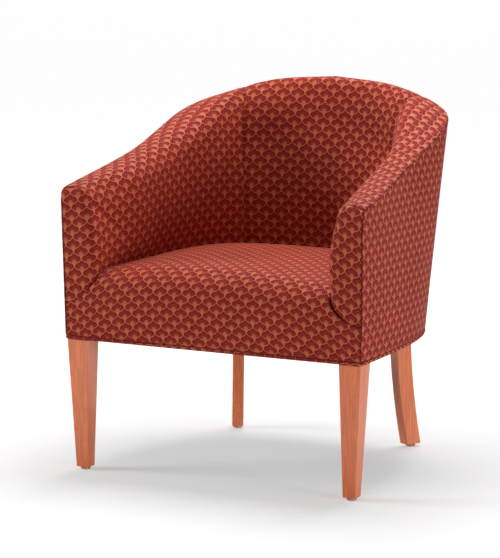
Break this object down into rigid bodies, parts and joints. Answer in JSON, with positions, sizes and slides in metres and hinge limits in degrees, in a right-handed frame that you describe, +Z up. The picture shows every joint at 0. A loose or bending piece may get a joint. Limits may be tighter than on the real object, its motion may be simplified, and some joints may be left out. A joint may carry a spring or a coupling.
{
  "type": "tub chair",
  "caption": "Upholstered tub chair with sloping arms flowing into a rounded back, a tight crowned seat, piping along the lower edge and four wooden legs.",
  "frame": {"origin": "middle of the chair's footprint, on the floor", "axes": "+Z up; the chair faces -Y; +X towards the arm on the viewer's right when facing the chair"},
  "size_m": [0.676, 0.6232, 0.79],
  "materials": {
    "cover_fabric": "woven jacquard, burgundy scallops outlined in rose with amber fans",
    "leg_wood": "cherry stain, satin lacquer",
    "frame_wood": "bare sawn beech",
    "foam": "open-cell upholstery foam",
    "steel": "zinc plated",
    "glide_metal": "satin",
    "webbing": "jute webbing and hessian",
    "dust_cloth": "black non-woven cloth",
    "card": "tacking card"
  },
  "bodies": {
    "root": {"front_leg_left": "leg_wood", "front_leg_right": "leg_wood", "rear_leg_left": "leg_wood", "rear_leg_right": "leg_wood", "nail_glides": "glide_metal", "hanger_bolts": "steel", "leg_inserts": "steel", "front_rail": "frame_wood", "side_rail_left": "frame_wood", "side_rail_right": "frame_wood", "back_rail": "frame_wood", "arm_post_left": "frame_wood", "arm_post_right": "frame_wood", "rear_post_left": "frame_wood", "rear_post_right": "frame_wood", "arm_top_rail_left": "frame_wood", "arm_top_rail_right": "frame_wood", "back_top_rail": "frame_wood", "back_slat": "frame_wood", "front_block_left": "frame_wood", "front_block_right": "frame_wood", "rear_block_left": "frame_wood", "rear_block_right": "frame_wood", "block_screws": "steel", "frame_dowels": "frame_wood", "seat_springs": "steel", "spring_clips": "steel", "spring_tie_wires": "steel", "seat_decking": "webbing", "front_padding": "foam", "seat_foam": "foam", "seat_cover": "cover_fabric", "inside_back_foam": "foam", "inside_arm_foam_left": "foam", "inside_arm_foam_right": "foam", "inside_back_cover": "cover_fabric", "inside_arm_cover_left": "cover_fabric", "inside_arm_cover_right": "cover_fabric", "back_webbing": "webbing", "arm_webbing_left": "webbing", "arm_webbing_right": "webbing", "outside_back_cover": "cover_fabric", "outside_arm_cover_left": "cover_fabric", "outside_arm_cover_right": "cover_fabric", "tack_strips": "card", "bottom_welt": "cover_fabric", "dust_cover": "dust_cloth", "dust_cover_staples": "steel"}
  },
  "joints": []
}
